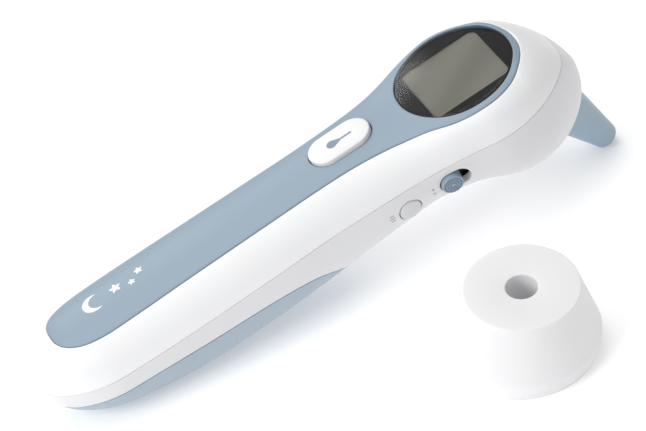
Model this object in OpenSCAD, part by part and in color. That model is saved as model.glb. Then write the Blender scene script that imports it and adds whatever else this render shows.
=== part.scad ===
// Digital ear and forehead thermometer with a detached forehead probe cap.
// Modelled in a body frame: X runs to the head, Y to the left, Z out of the display face.
// lying() then sets the body down on its grip and probe tip; the cap stands beside it.

/* [Case] */
// wall thickness of the two case halves and the battery cover, mm
wall = 1.8; // [1.6:0.1:2.0]
// thickness of the front case under the faceplate, mm
face_floor = 1.4; // [1.2:0.1:1.6]
// gap left between neighbouring outer pieces, mm
seam = 0.15; // [0.1:0.05:0.25]
// height of the parting plane between the two case halves, mm
split_z = -9.3; // [-9.8:0.1:-8.8]

/* [Display] */
// radius of the round display window, mm
window_r = 15.85; // [15.6:0.05:16.0]
// place of the window's centre along the body, mm
window_x = 127; // [126.5:0.1:127.5]
// side of the square viewing area, mm
view_side = 22.2; // [21:0.1:22.2]

/* [Measure button] */
// length of the measuring button, mm
button_len = 17.3; // [16.8:0.1:17.6]
// width of the measuring button, mm
button_wid = 10; // [9.6:0.1:10.4]
// travel of the measuring button, mm
button_travel = 0.6; // [0.4:0.1:0.7]

/* [Side controls] */
// diameter of the round memory button, mm
memory_d = 6; // [5.6:0.1:6.2]
// diameter of the mode slider's knob, mm
knob_d = 5.8; // [5.5:0.1:6]
// travel of the mode slider, mm
slider_travel = 2.2; // [1.8:0.1:2.4]

/* [Probe] */
// radius of the probe at its tip, mm
probe_tip_r = 3.45; // [3.3:0.05:3.6]
// half angle of the probe's cone, degrees
probe_half_angle = 9.9; // [9.4:0.1:10.2]

/* [Forehead cap] */
// largest outer radius of the cap, at its widest level, mm
cap_side_r = 18.7; // [18.3:0.1:19]
// outer radius of the cap's flat top, mm
cap_top_r = 14.3; // [14:0.1:14.8]
// slant of the cap's top against its base, degrees
cap_slant = 10; // [8:0.5:12]
// radius of the sensing hole through the cap's top, mm
cap_hole_r = 4; // [3.8:0.1:4.2]

/* [Output] */
// name of the sub-part to draw, or all

/* [Hidden] */

// ---- resting pose: nose-up angle on a flat surface, and the shift to the frame's origin
pitch = 9.82;
place = [-81, 28.08, 20.63];

// ---- body sections: half width, bottom, crown and widest level along X, with the
// exponents of the rounded upper and lower halves
TAB_W = [[-2, 14], [15, 16.25], [35, 17], [60, 16.75], [80, 16.25], [95, 16.75],
  [107, 17.5], [118, 19.25], [128, 21.25], [140, 21.25], [156, 18.75]];
TAB_BOTTOM = [[-2, -18.25], [15, -23], [35, -26.75], [60, -27.25], [80, -26.25],
  [95, -24.5], [107, -23.5], [118, -25.5], [128, -30.25], [140, -33], [156, -35]];
TAB_CROWN = [[-2, 1.6], [90, 1.6], [110, 1.1], [156, 1.6]];
TAB_WIDEST = [[-2, -11.5], [80, -11.5], [125, -9.75], [156, -17]];
TAB_TOP_EXP = [[-2, 2.45], [80, 2.45], [105, 2.7], [125, 4.5], [140, 3], [156, 3]];
BOTTOM_EXP = 2.65;
grip_x = -2.5;
head_x = 155.5;
// end rounding as [length, exponent] for the width, the upper half and the lower half
GRIP_END = [[20, 2.2], [13, 2.2], [15, 2.2]];
HEAD_END = [[29.5, 2], [16, 1.4], [25.5, 2.1]];
// rings along the body and points round each ring, for the outer and the inner surface
OUTER_MESH = [47, 44];
INNER_MESH = [32, 32];

// ---- faceplate outline on the face plane: half width along X, rounded off at both ends
TAB_FACE = [[6, 9.9], [28, 9.9], [45, 9.6], [65, 9.3], [82, 9.1], [92, 9.4], [100, 10.2],
  [106, 11.4], [112, 13.2], [118, 15.8], [123, 17.2], [127, 17.6], [146, 17.6]];
face_x0 = 7;
face_x1 = 144.5;
FACE_ENDS = [[16, 2.7], [17.6, 2]];
face_points = 44;
face_bottom = -0.9;

// ---- battery cover edge seen from the side
COVER_EDGE = [[-10, -14.2], [20, -14.2], [28, -14.4], [36, -14.8], [45, -15.3],
  [54, -15.8], [61, -16.4], [66, -17.1], [70, -18], [73, -19.2], [76, -21],
  [79, -23.4], [81.5, -26], [83.5, -30]];
bay_top = -11.3;
bay_plate = 1.3;
bay_x0 = 25.8;
bay_end_x = 79.3;
bay_wall = 1.4;

// ---- main board and the parts on it
pcb_top = -6.2;
pcb_thick = 1.2;
button_x = 93.35;
button_top = 2.5;
lcd_side = 23.4;
lcd_top = -2.45;
lcd_thick = 1.8;
upper_glass_top = -0.9;
lcd_frame_top = -3.2;
lcd_frame_wall = 0.8;
// length of the glass's ledge that stands on the zebra strips, past the backlight
zebra_room = 2.4;
view_corner = 2.2;

// ---- side controls: body-frame places on the near flank, tilt below the horizontal, yaw
memory_at = [98.8, -15.9, -15.8];
memory_tilt = 12;
slider_at = [112, -17.65, -14.7];
slider_tilt = 11;
slider_yaw = -9;
carrier_top = -3;

// ---- cells
cell_d = 10.5;
cell_len = 43.6;
cell_x = 31;
cell_z = -18.3;
cell_y = 5.6;
nub_d = 3.8;
nub_len = 0.8;
// half height of the contact plates and the springs' base plates
contact_half = 3.6;

// ---- probe axis: tip place in the body frame and lean of the axis from the face's normal
probe_tip = [154.75, 0, -46.4];
probe_lean = 22.7;
probe_flange_z = 26.2;
probe_len = 27.4;
probe_flange_r = 8.9;
lead_ring_r = 1.2;
LEAD_ANGLES = [45, 135, 225, 315];
tip_round = 1.5;

// ---- cap, standing beside the head
cap_at = [106.6, -57.7];
cap_height = 22.8;
cap_wall = 1.7;
cap_turn = -58.5;
// height of the cap's widest level, and how far the side draws in below it
cap_skirt = 8;
cap_tuck = 2.3;
// the tilted cap reaches this far below the floor before its base is cut flat
cap_under = 4;
cap_sleeve = 9.3;

// ---------------------------------------------------------------- curve helpers
function slope_at(t, i) = i == 0 ? (t[1][1] - t[0][1]) / (t[1][0] - t[0][0])
  : i == len(t) - 1 ? (t[i][1] - t[i - 1][1]) / (t[i][0] - t[i - 1][0])
  : (t[i + 1][1] - t[i - 1][1]) / (t[i + 1][0] - t[i - 1][0]);
function span_at(t, x) = max(0, min(len(t) - 2, len([for (p = t) if (p[0] <= x) 1]) - 1));
function blend(a, b, ma, mb, h, u) = a * (2 * u^3 - 3 * u^2 + 1) + h * ma * (u^3 - 2 * u^2 + u)
  + b * (3 * u^2 - 2 * u^3) + h * mb * (u^3 - u^2);
function smooth(t, x) = let (i = span_at(t, x), h = t[i + 1][0] - t[i][0],
  u = min(1, max(0, (x - t[i][0]) / h)))
  blend(t[i][1], t[i + 1][1], slope_at(t, i), slope_at(t, i + 1), h, u);
function limit(v) = min(1, max(0, v));
function end_round(x, x0, e0, x1, e1) =
  (1 - (1 - limit((x - x0) / e0[0]))^e0[1])^(1 / e0[1])
  * (1 - (1 - limit((x1 - x) / e1[0]))^e1[1])^(1 / e1[1]);
function power_sign(v, e) = sign(v) * abs(v)^e;

// one ring of the body, drawn in by a side offset and a crown offset
function ring(x, side, crown, n) = let (
  x0 = grip_x + side, x1 = head_x - side,
  w = (smooth(TAB_W, x) - side) * end_round(x, x0, GRIP_END[0], x1, HEAD_END[0]),
  mid = smooth(TAB_WIDEST, x),
  up = (smooth(TAB_CROWN, x) - crown - mid) * end_round(x, x0, GRIP_END[1], x1, HEAD_END[1]),
  down = (mid - smooth(TAB_BOTTOM, x) - side)
    * end_round(x, x0, GRIP_END[2], x1, HEAD_END[2]),
  et = 2 / smooth(TAB_TOP_EXP, x), eb = 2 / BOTTOM_EXP)
  [for (j = [0 : n - 1])
    let (q = 360 * j / n, a = q - 6.5 * sin(4 * q), c = cos(a), s = sin(a))
    [x, w * power_sign(c, s >= 0 ? et : eb),
      mid + (s >= 0 ? up * power_sign(s, et) : down * power_sign(s, eb))]];
function ring_x(i, m, x0, x1) = x0 + (x1 - x0) * (0.5 - 0.5 * cos(180 * (i + 0.6) / (m + 0.2)));

module loft(side, crown, mesh) {
  x0 = grip_x + side;
  x1 = head_x - side;
  m = mesh[0];
  n = mesh[1];
  rings = [for (i = [0 : m - 1]) ring(ring_x(i, m, x0, x1), side, crown, n)];
  pts = concat([for (r = rings) for (p = r) p],
    [[x0, 0, smooth(TAB_WIDEST, x0)], [x1, 0, smooth(TAB_WIDEST, x1)]]);
  a = m * n;
  skin = [for (i = [0 : m - 2]) for (j = [0 : n - 1]) let (k = (j + 1) % n)
    for (f = [[i * n + j, (i + 1) * n + j, (i + 1) * n + k], [i * n + j, (i + 1) * n + k, i * n + k]]) f];
  grip = [for (j = [0 : n - 1]) [a, j, (j + 1) % n]];
  head = [for (j = [0 : n - 1]) [a + 1, (m - 1) * n + (j + 1) % n, (m - 1) * n + j]];
  polyhedron(points = pts, faces = concat(skin, grip, head), convexity = 6);
}

module outer_body() {
  loft(0, 0, OUTER_MESH);
}

module inner_body() {
  loft(wall, wall, INNER_MESH);
}

module lying() {
  translate(place)
    rotate([0, -pitch, 0])
      children();
}

module probe_frame() {
  translate(probe_tip)
    rotate([0, -probe_lean, 0])
      children();
}

module flank_frame(at, tilt, yaw) {
  translate(at)
    rotate([0, 0, yaw])
      rotate([90 + tilt, 0, 0])
        children();
}

module slab(x0, x1, y, z0, z1) {
  translate([x0, -y, z0])
    cube([x1 - x0, 2 * y, z1 - z0]);
}

// faceplate outline grown by g, as a flat shape
function face_edge(u, g) = let (a = face_x0 - g, b = face_x1 + g, x = a + (b - a) * u)
  [x, (smooth(TAB_FACE, x) + g) * end_round(x, a, FACE_ENDS[0], b, FACE_ENDS[1])];
module face_outline(g) {
  side = [for (k = [0 : face_points]) face_edge(0.5 - 0.5 * cos(180 * k / face_points), g)];
  polygon(concat(side, [for (k = [face_points - 1 : -1 : 1]) [side[k][0], -side[k][1]]]));
}

module obround(len, wid, h) {
  half = (len - wid) / 2;
  translate([-half, 0, 0])
    cylinder(d = wid, h = h, $fn = 64);
  translate([half, 0, 0])
    cylinder(d = wid, h = h, $fn = 64);
  translate([-half, -wid / 2, 0])
    cube([2 * half, wid, h]);
}

// side view outline of everything above the battery cover's edge, raised by g
module above_cover_edge(g) {
  translate([0, 40, 0])
    rotate([90, 0, 0])
      linear_extrude(80)
        polygon(concat([for (p = COVER_EDGE) [p[0] + (p[1] < -18 ? g : 0), p[1] + g]],
          [[84, -60], [180, -60], [180, split_z - seam / 2], [-10, split_z - seam / 2]]));
}

module below_cover_edge() {
  translate([0, 40, 0])
    rotate([90, 0, 0])
      linear_extrude(80)
        polygon(concat(COVER_EDGE, [[83.5, -60], [-10, -60]]));
}

// ---------------------------------------------------------------- outer case
module boss(x, y, z0, z1, r, bore) {
  translate([x, y, z0])
    difference() {
      cylinder(r = r, h = z1 - z0, $fn = 32);
      translate([0, 0, -1])
        cylinder(r = bore, h = z1 - z0 + 0.2, $fn = 24);
    }
}

CASE_SCREWS = [[18, 8.6], [18, -8.6]];
PCB_SCREWS = [[67, 8], [67, -8], [105, 8.6], [105, -8.6]];
screw_pilot_r = 0.8;

module front_shell() {
  color([0.93, 0.93, 0.93])
    lying() {
      difference() {
        intersection() {
          outer_body();
          slab(-10, 170, 40, split_z + seam / 2, 20);
        }
        difference() {
          inner_body();
          slab(-10, 170, 40, floor_under(), 20);
        }
        translate([0, 0, face_bottom - 0.05])
          linear_extrude(10)
            face_outline(seam);
        translate([window_x, 0, -10])
          cylinder(r = window_r - 0.8, h = 20, $fn = 96);
        translate([button_x, 0, -10])
          obround(button_len + 0.7, button_wid + 0.7, 20);
      }
      for (p = CASE_SCREWS)
        boss(p[0], p[1], bay_top + 0.02, floor_under() + 0.3, 2.6, screw_pilot_r);
      for (p = PCB_SCREWS)
        boss(p[0], p[1], pcb_top, floor_under() + 0.3, 2.2, screw_pilot_r);
    }
}
function floor_under() = face_bottom - face_floor;

module rear_shell() {
  color([0.92, 0.92, 0.92])
    lying() {
      difference() {
        intersection() {
          outer_body();
          above_cover_edge(seam);
        }
        difference() {
          inner_body();
          slab(-10, bay_end_x, 40, bay_top - bay_plate, bay_top);
          slab(bay_end_x, bay_end_x + bay_wall, 40, -40, bay_top);
        }
        probe_frame()
          translate([0, 0, probe_bore_z()])
            cylinder(r1 = probe_r(probe_bore_z()) + 0.06, r2 = probe_r(probe_flange_z) + 0.06,
              h = probe_flange_z - probe_bore_z(), $fn = 96);
        probe_frame()
          translate([0, 0, probe_flange_z - 0.02])
            cylinder(r = probe_flange_r + 0.3, h = 6, $fn = 64);
        flank_frame(memory_at, memory_tilt, 0)
          translate([0, 0, -6])
            cylinder(d = memory_d + 0.5, h = 12, $fn = 64);
        flank_frame(slider_at, slider_tilt, slider_yaw)
          translate([0, 0, -6])
            obround(knob_d + slider_travel + 0.4, knob_d + 0.4, 12);
        for (p = CASE_SCREWS)
          translate([p[0], p[1], bay_top - 3])
            cylinder(r = 1.35, h = 6, $fn = 32);
      }
      slab(bay_x0, bay_x0 + bay_wall, 9.4, cell_z - contact_half, bay_top - 0.5);
    }
}
function probe_bore_z() = 8;

module battery_cover() {
  color([0.60, 0.68, 0.75])
    lying() {
      difference() {
        intersection() {
          outer_body();
          below_cover_edge();
        }
        inner_body();
      }
    }
}

module faceplate() {
  color([0.60, 0.68, 0.75])
    lying() {
      difference() {
        intersection() {
          outer_body();
          translate([0, 0, face_bottom])
            linear_extrude(10)
              face_outline(0);
        }
        translate([window_x, 0, -10])
          cylinder(r = window_r + 0.1, h = 20, $fn = 128);
        translate([button_x, 0, -10])
          obround(button_len + 0.5, button_wid + 0.5, 20);
      }
    }
}

// ---------------------------------------------------------------- display
module display_window() {
  color([0.2, 0.22, 0.24, 0.4])
    lying() {
      translate([window_x, 0, -0.35])
        cylinder(r = window_r, h = 1.1, $fn = 128);
      translate([window_x, 0, 0.75])
        cylinder(r1 = window_r, r2 = window_r - 0.35, h = 0.25, $fn = 128);
    }
}

// rounded square through which the display is seen
module view_outline() {
  offset(r = view_corner, $fn = 32)
    square(view_side - 2 * view_corner, center = true);
}

module display_mask() {
  color([0.03, 0.03, 0.03])
    lying() {
      difference() {
        translate([window_x, 0, -0.85])
          cylinder(r = window_r - 0.1, h = 0.5, $fn = 128);
        translate([window_x, 0, -3])
          linear_extrude(6)
            view_outline();
      }
    }
}

// a lower glass with a ledge all round, and the smaller upper glass right under the mask
module lcd_glass() {
  color([0.45, 0.46, 0.40])
    lying() {
      translate([window_x - lcd_side / 2, -lcd_side / 2, lcd_top - lcd_thick])
        cube([lcd_side, lcd_side, lcd_thick]);
      translate([window_x, 0, lcd_top - lcd_thick / 2])
        linear_extrude(upper_glass_top - lcd_top + lcd_thick / 2)
          view_outline();
    }
}

module lcd_frame() {
  color([0.85, 0.85, 0.83])
    lying() {
      difference() {
        outside = lcd_side / 2 + 0.1 + lcd_frame_wall;
        inside = lcd_side / 2 + 0.1;
        slab(window_x - outside, window_x + outside, outside, pcb_top, lcd_frame_top);
        slab(window_x - inside, window_x + inside, inside, pcb_top - 1, 0);
      }
    }
}

module backlight_panel() {
  color([0.95, 0.95, 0.9])
    lying() {
      translate([window_x - lcd_side / 2, -lcd_side / 2, pcb_top + 0.6])
        cube([lcd_side - zebra_room, lcd_side, lcd_top - lcd_thick - pcb_top - 0.65]);
    }
}

module zebra_strips() {
  color([0.35, 0.2, 0.25])
    lying() {
      translate([window_x + lcd_side / 2 - 2.2, -lcd_side / 2 + 1, pcb_top])
        cube([1.6, lcd_side - 2, lcd_top - lcd_thick - 0.05 - pcb_top]);
    }
}

// ---------------------------------------------------------------- measuring button
// pressed cap with a chamfered edge, a flange under the case and a stem on the switch
module measure_button() {
  edge = 0.35;
  body_h = button_top - edge - floor_under() + 0.3;
  color([0.96, 0.96, 0.96])
    lying() {
      difference() {
        translate([button_x, 0, floor_under() - 0.3]) {
          obround(button_len, button_wid, body_h);
          translate([0, 0, body_h])
            hull() {
              obround(button_len, button_wid, 0.01);
              translate([0, 0, edge])
                obround(button_len - 2 * edge, button_wid - 2 * edge, 0.001);
            }
          translate([0, 0, -0.7])
            obround(button_len + 1.6, button_wid + 1.6, 0.7);
        }
        translate([button_x, 0, button_top - 0.3])
          icon_shape(0.03, 1);
      }
      translate([button_x, 0, pcb_top + 2.5])
        cylinder(r = 1.6, h = floor_under() - pcb_top - 2.5, $fn = 32);
    }
}

// thermometer sign: a round bulb that narrows into a thin stem
module icon_shape(g, h) {
  bulb_x = -1.95;
  bulb_r = 1.4 + g;
  stem_x = 3.8;
  stem_r = 0.32 + g;
  linear_extrude(h) {
    translate([bulb_x, 0])
      circle(r = bulb_r, $fn = 48);
    polygon([[bulb_x + 0.5, -bulb_r * 0.9], [0.6, -stem_r], [stem_x + 0.1, -stem_r],
      [stem_x + 0.1, stem_r], [0.6, stem_r], [bulb_x + 0.5, bulb_r * 0.9]]);
    translate([stem_x + 0.1, 0])
      circle(r = stem_r + 0.02, $fn = 24);
  }
}

module button_icon() {
  color([0.55, 0.65, 0.74])
    lying() {
      translate([button_x, 0, button_top - 0.3])
        icon_shape(0, 0.3);
    }
}

module measure_plunger() {
  color([0.15, 0.15, 0.15])
    lying() {
      translate([button_x, 0, pcb_top + 1.5])
        cylinder(r = 1, h = 1, $fn = 32);
    }
}

module measure_switch() {
  color([0.75, 0.76, 0.78])
    lying() {
      difference() {
        translate([button_x - 3, -3, pcb_top])
          cube([6, 6, 1.8]);
        translate([button_x, 0, pcb_top + 0.8])
          cylinder(r = 1.05, h = 3, $fn = 32);
      }
    }
}

// ---------------------------------------------------------------- electronics
module main_pcb() {
  color([0.1, 0.4, 0.22])
    lying() {
      difference() {
        translate([0, 0, pcb_top - pcb_thick])
          linear_extrude(pcb_thick) {
            translate([62, -11])
              square([50, 22]);
            translate([108, -14])
              square([33, 28]);
          }
        for (p = PCB_SCREWS)
          translate([p[0], p[1], pcb_top - 5])
            cylinder(r = 1.15, h = 8, $fn = 32);
      }
    }
}

CHIPS = [[118, -4, 7, 7, 1], [129, 3, 5, 6, 1], [74, -3, 6, 5, 1.4], [78, 4.5, 3, 2, 1.1],
  [110, 7, 3, 1.6, 0.9]];
module pcb_chips() {
  color([0.08, 0.08, 0.09])
    lying() {
      for (c = CHIPS)
        translate([c[0], c[1] - c[3] / 2, pcb_top - pcb_thick - c[4]])
          cube([c[2], c[3], c[4]]);
    }
}

module screw(shaft, head_r) {
  translate([0, 0, -1.3])
    cylinder(r = head_r, h = 1.3, $fn = 32);
  cylinder(r = screw_pilot_r - 0.02, h = shaft, $fn = 24);
}

module pcb_screws() {
  color([0.7, 0.7, 0.72])
    lying() {
      for (p = PCB_SCREWS)
        translate([p[0], p[1], pcb_top - pcb_thick])
          screw(4.4, 1.9);
    }
}

module case_screws() {
  color([0.7, 0.7, 0.72])
    lying() {
      for (p = CASE_SCREWS)
        translate([p[0], p[1], bay_top - bay_plate])
          screw(7.5, 2.1);
    }
}

module buzzer() {
  color([0.12, 0.12, 0.13])
    lying() {
      translate([88, 3.6, pcb_top - pcb_thick - 3.2])
        cylinder(r = 4.6, h = 3.2, $fn = 48);
    }
}

// ---------------------------------------------------------------- side controls
module memory_button() {
  color([0.95, 0.95, 0.95])
    lying()
      flank_frame(memory_at, memory_tilt, 0) {
        translate([0, 0, -2.4])
          cylinder(d = memory_d, h = 2.7, $fn = 64);
        translate([0, 0, 0.3])
          cylinder(d1 = memory_d, d2 = memory_d - 0.7, h = 0.35, $fn = 64);
        translate([0, 0, -3])
          cylinder(d = 2, h = 0.7, $fn = 32);
      }
}

module memory_plunger() {
  color([0.15, 0.15, 0.15])
    lying()
      flank_frame(memory_at, memory_tilt, 0)
        translate([0, 0, -3.8])
          cylinder(r = 0.9, h = 0.8, $fn = 32);
}

module memory_switch() {
  color([0.75, 0.76, 0.78])
    lying()
      difference() {
        flank_frame(memory_at, memory_tilt, 0)
          translate([-2.6, -2.6, -5.6])
            cube([5.2, 5.2, 2]);
        flank_frame(memory_at, memory_tilt, 0)
          translate([0, 0, -4.6])
            cylinder(r = 0.95, h = 3, $fn = 32);
      }
}

module side_board() {
  color([0.1, 0.4, 0.22])
    lying()
      flank_frame(memory_at, memory_tilt, 0)
        translate([-5.5, -5.2, -6.7])
          cube([22, 9.6, 1]);
}

// knob with finger rings, standing through the slot; it starts at the grip end
module mode_slider() {
  knob_top = 1.05;
  color([0.45, 0.56, 0.66])
    lying()
      flank_frame(slider_at, slider_tilt, slider_yaw)
        translate([-slider_travel / 2, 0, 0]) {
          difference() {
            union() {
              translate([0, 0, -1.9])
                cylinder(d = knob_d, h = 1.9 + knob_top - 0.3, $fn = 64);
              translate([0, 0, knob_top - 0.3])
                cylinder(d1 = knob_d, d2 = knob_d - 0.6, h = 0.3, $fn = 64);
            }
            for (r = [0.8, 1.5, 2.2])
              translate([0, 0, knob_top - 0.2])
                difference() {
                  cylinder(r = r + 0.12, h = 1, $fn = 48);
                  translate([0, 0, -1])
                    cylinder(r = r - 0.12, h = 3, $fn = 48);
                }
          }
          translate([0, 0, carrier_top])
            cylinder(d = 3, h = -1.8 - carrier_top, $fn = 32);
        }
}

// black carrier that closes the slot from inside and works the switch
module slide_lever() {
  color([0.1, 0.1, 0.1])
    lying()
      flank_frame(slider_at, slider_tilt, slider_yaw)
        translate([-slider_travel / 2, 0, 0]) {
          translate([0, 0, carrier_top - 0.7])
            obround(knob_d + 2 * slider_travel + 2, knob_d + 1, 0.7);
          translate([-0.7, -0.8, -4.6])
            cube([1.4, 1.6, 4.6 + carrier_top - 0.6]);
        }
}

module slide_switch_body() {
  color([0.72, 0.73, 0.75])
    lying()
      difference() {
        flank_frame(slider_at, slider_tilt, slider_yaw) {
          difference() {
            translate([-4.4, -2, -6.2])
              cube([8.8, 4, 2.4]);
            translate([-slider_travel / 2 - 0.9, -0.95, -4.8])
              cube([slider_travel + 1.8, 1.9, 3]);
          }
          for (x = [-4.1, 2.5])
            translate([x, -1.2, -9])
              cube([0.6, 2.4, 3]);
        }
        flank_frame(memory_at, memory_tilt, 0)
          translate([-30, -30, -40 - 5.7])
            cube([80, 60, 40]);
      }
}

// ---------------------------------------------------------------- battery bay
module cell(side) {
  color([0.2, 0.45, 0.3])
    lying()
      translate([side > 0 ? cell_x : cell_x + cell_len + nub_len, side * cell_y, cell_z])
        rotate([0, side > 0 ? 90 : -90, 0]) {
          cylinder(d = cell_d, h = cell_len, $fn = 64);
          translate([0, 0, cell_len])
            cylinder(d = nub_d, h = nub_len, $fn = 32);
        }
}

module battery_cell_left() {
  cell(1);
}

module battery_cell_right() {
  cell(-1);
}

// a cone coil as one swept tube with short flat ends
module coil(r0, r1, h, turns, wire) {
  n = 40;
  m = 8;
  ring_pts = [for (i = [0 : n]) let (u = i / n, a = 360 * turns * u, r = r0 + (r1 - r0) * u)
    for (j = [0 : m - 1]) let (b = 360 * j / m)
    [(r + wire * cos(b)) * cos(a), (r + wire * cos(b)) * sin(a), h * u + wire * sin(b)]];
  sides = [for (i = [0 : n - 1]) for (j = [0 : m - 1]) let (k = (j + 1) % m)
    for (f = [[i * m + j, i * m + k, (i + 1) * m + k], [i * m + j, (i + 1) * m + k, (i + 1) * m + j]]) f];
  polyhedron(points = ring_pts, convexity = 6,
    faces = concat(sides, [[for (j = [m - 1 : -1 : 0]) j], [for (j = [0 : m - 1]) n * m + j]]));
}

module battery_springs() {
  color([0.78, 0.78, 0.75])
    lying() {
      for (s = [1, -1])
        translate([s > 0 ? cell_x - 2.9 : cell_x + cell_len + 3.7, s * cell_y, cell_z])
          rotate([0, s > 0 ? 90 : -90, 0])
            coil(3.4, 1.8, 2.5, 2.5, 0.3);
      translate([cell_x - 3.7, 1.2, cell_z - contact_half])
        cube([0.5, 8, 2 * contact_half]);
      translate([cell_x + cell_len + 4, -9.2, cell_z - contact_half])
        cube([0.5, 8, 2 * contact_half]);
    }
}

module battery_plates() {
  color([0.8, 0.78, 0.7])
    lying() {
      translate([cell_x + cell_len + 0.9, 1.2, cell_z - contact_half])
        cube([0.5, 8, 8.6]);
      translate([cell_x - 0.6, -9.2, cell_z - contact_half])
        cube([0.5, 8, 8.6]);
    }
}

// ---------------------------------------------------------------- probe
function probe_r(z) = probe_tip_r
  + (z - tip_round * (1 - sin(probe_half_angle))) * tan(probe_half_angle);

// half section of the probe: rounded tip, cone, and the flange inside the case
module probe_section() {
  tip_arc = [for (k = [0 : 8]) let (a = -90 + (90 - probe_half_angle) * k / 8)
    [probe_tip_r - tip_round * cos(probe_half_angle) + tip_round * cos(a),
      tip_round + tip_round * sin(a)]];
  polygon(concat([[1.9, 0]], tip_arc, [[probe_r(probe_flange_z), probe_flange_z],
    [probe_flange_r, probe_flange_z], [probe_flange_r, probe_len], [5.2, probe_len], [2.45, 12], [2.45, 0.45],
    [1.9, 0.45]]));
}

module probe_cone() {
  color([0.52, 0.62, 0.71])
    lying()
      probe_frame()
        rotate_extrude($fn = 96)
          probe_section();
}

module probe_window() {
  color([0.15, 0.15, 0.17])
    lying()
      probe_frame()
        translate([0, 0, 0.5])
          cylinder(r = 2.4, h = 0.4, $fn = 64);
}

module waveguide_tube() {
  color([0.85, 0.7, 0.3])
    lying()
      probe_frame()
        translate([0, 0, 0.95])
          difference() {
            cylinder(r = 2.4, h = 6, $fn = 64);
            translate([0, 0, -1])
              cylinder(r = 1.9, h = 8, $fn = 64);
          }
}

module thermopile_can() {
  color([0.8, 0.8, 0.8])
    lying()
      probe_frame() {
        translate([0, 0, 7])
          cylinder(r = 2.1, h = 2.4, $fn = 64);
        translate([0, 0, 9.3])
          cylinder(r = 2.4, h = 0.5, $fn = 64);
      }
}

// where a lead offset by x in the probe frame meets the underside of the main board
function lead_end(x) = (pcb_top - pcb_thick - 0.15 - probe_tip[2] - x * sin(probe_lean))
  / cos(probe_lean) - 0.15;

module sensor_leads() {
  color([0.75, 0.72, 0.6])
    lying()
      probe_frame()
        for (a = LEAD_ANGLES)
          translate([lead_ring_r * cos(a), lead_ring_r * sin(a), 9.8])
            cylinder(r = 0.25, h = lead_end(lead_ring_r * cos(a)) - 9.8, $fn = 16);
}

module sensor_holder() {
  color([0.9, 0.9, 0.88])
    lying()
      probe_frame()
        difference() {
          union() {
            translate([0, 0, 10])
              cylinder(r = 2.35, h = 2, $fn = 64);
            translate([0, 0, 12])
              cylinder(r1 = 2.35, r2 = 5.1, h = probe_len - 12, $fn = 64);
            translate([0, 0, probe_len])
              cylinder(r = 8.6, h = 1.6, $fn = 64);
          }
          for (a = LEAD_ANGLES)
            translate([lead_ring_r * cos(a), lead_ring_r * sin(a), 9])
              cylinder(r = 0.35, h = 30, $fn = 16);
        }
}

// ---------------------------------------------------------------- forehead cap
// outer radius of the cap at height z on its own axis
function cap_side(z) = z < cap_skirt
  ? cap_side_r - cap_tuck * ((cap_skirt - z) / cap_skirt)^2
  : cap_side_r - (cap_side_r - cap_top_r) * (z - cap_skirt) / (cap_height - cap_skirt);

// half section: rounded side, flat top with its sensing hole, and the sleeve that
// grips the probe's cone underneath
module cap_section() {
  edge = 0.5;
  roof = cap_height - cap_wall;
  low = roof - cap_sleeve;
  polygon(concat([for (z = [-cap_under : 1 : cap_skirt]) [cap_side(z), z]],
    [[cap_side(cap_height - edge), cap_height - edge],
      [cap_top_r - edge * 0.7, cap_height - edge * 0.15], [cap_top_r - edge, cap_height],
      [cap_hole_r, cap_height], [cap_hole_r, roof],
      [probe_r(cap_sleeve) + 0.12, low], [probe_r(cap_sleeve) + 1.3, low],
      [probe_r(cap_sleeve) + 0.6, roof], [cap_side(roof) - cap_wall, roof]],
    [for (k = [0 : cap_skirt + cap_under]) [cap_side(cap_skirt - k) - cap_wall, cap_skirt - k]]));
}

module probe_cap() {
  color([0.95, 0.95, 0.95])
    translate([cap_at[0] + place[0], cap_at[1] + place[1], 0])
      intersection() {
        rotate([0, 0, cap_turn])
          rotate([0, cap_slant, 0])
            rotate_extrude($fn = 144)
              cap_section();
        translate([-30, -30, 0])
          cube([60, 60, 60]);
      }
}

front_shell();
rear_shell();
battery_cover();
faceplate();
display_window();
display_mask();
lcd_glass();
lcd_frame();
backlight_panel();
zebra_strips();
measure_button();
button_icon();
measure_plunger();
measure_switch();
main_pcb();
pcb_chips();
pcb_screws();
buzzer();
memory_button();
memory_plunger();
memory_switch();
side_board();
mode_slider();
slide_lever();
slide_switch_body();
battery_cell_left();
battery_cell_right();
battery_springs();
battery_plates();
case_screws();
probe_cone();
probe_window();
waveguide_tube();
thermopile_can();
sensor_leads();
sensor_holder();
probe_cap();
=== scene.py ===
import math

import bmesh
import bpy
import numpy as np
from mathutils import Matrix, Vector

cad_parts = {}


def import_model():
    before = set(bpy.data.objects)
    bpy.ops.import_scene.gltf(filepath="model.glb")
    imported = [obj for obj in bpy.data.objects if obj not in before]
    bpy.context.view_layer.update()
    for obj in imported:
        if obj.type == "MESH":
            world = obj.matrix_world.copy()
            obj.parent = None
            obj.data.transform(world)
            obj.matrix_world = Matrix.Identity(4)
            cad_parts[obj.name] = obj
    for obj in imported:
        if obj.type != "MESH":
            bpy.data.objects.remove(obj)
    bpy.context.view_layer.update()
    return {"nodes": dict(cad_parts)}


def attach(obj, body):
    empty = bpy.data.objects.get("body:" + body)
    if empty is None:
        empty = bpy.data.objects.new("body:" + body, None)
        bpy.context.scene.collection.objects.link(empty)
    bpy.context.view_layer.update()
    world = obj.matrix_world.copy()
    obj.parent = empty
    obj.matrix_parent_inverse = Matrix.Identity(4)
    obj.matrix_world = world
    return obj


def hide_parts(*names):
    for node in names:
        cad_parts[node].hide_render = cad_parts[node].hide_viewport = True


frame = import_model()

# ---------------------------------------------------------------- design values, millimetres
# The body frame runs X to the head, Y to the left and Z out of the display face.
# These repeat the CAD design, which this script cannot read.
PITCH = math.radians(9.82)
PLACE = np.array([-81, 28.08, 20.63])
WALL = 1.8
SEAM = 0.15
SPLIT_Z = -9.3

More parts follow.
